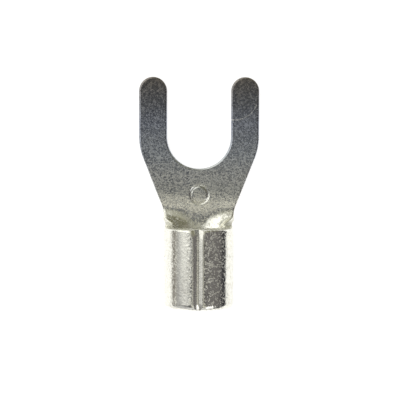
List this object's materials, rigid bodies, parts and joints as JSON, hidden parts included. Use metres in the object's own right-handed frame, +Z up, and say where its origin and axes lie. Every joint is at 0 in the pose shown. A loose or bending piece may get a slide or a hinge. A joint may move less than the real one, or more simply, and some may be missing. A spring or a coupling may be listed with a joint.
{
  "type": "fork terminal",
  "caption": "Bare crimp terminal in tin-plated copper sheet: an open fork for a screw stud, a tapered neck and a rolled wire barrel with a brazed butt seam.",
  "frame": {"origin": "centre of the stud slot's round end, on the underside of the fork", "axes": "+Y along the wire's axis towards the fork's open end, +Z up from the underside towards the seam, +X across the tines; the part lies on its back"},
  "size_m": [0.0098, 0.0187, 0.0057],
  "materials": {
    "tin_plate": "satin tin plating over copper sheet, tumbled"
  },
  "bodies": {
    "root": {"fork": "tin_plate", "barrel": "tin_plate"}
  },
  "joints": []
}
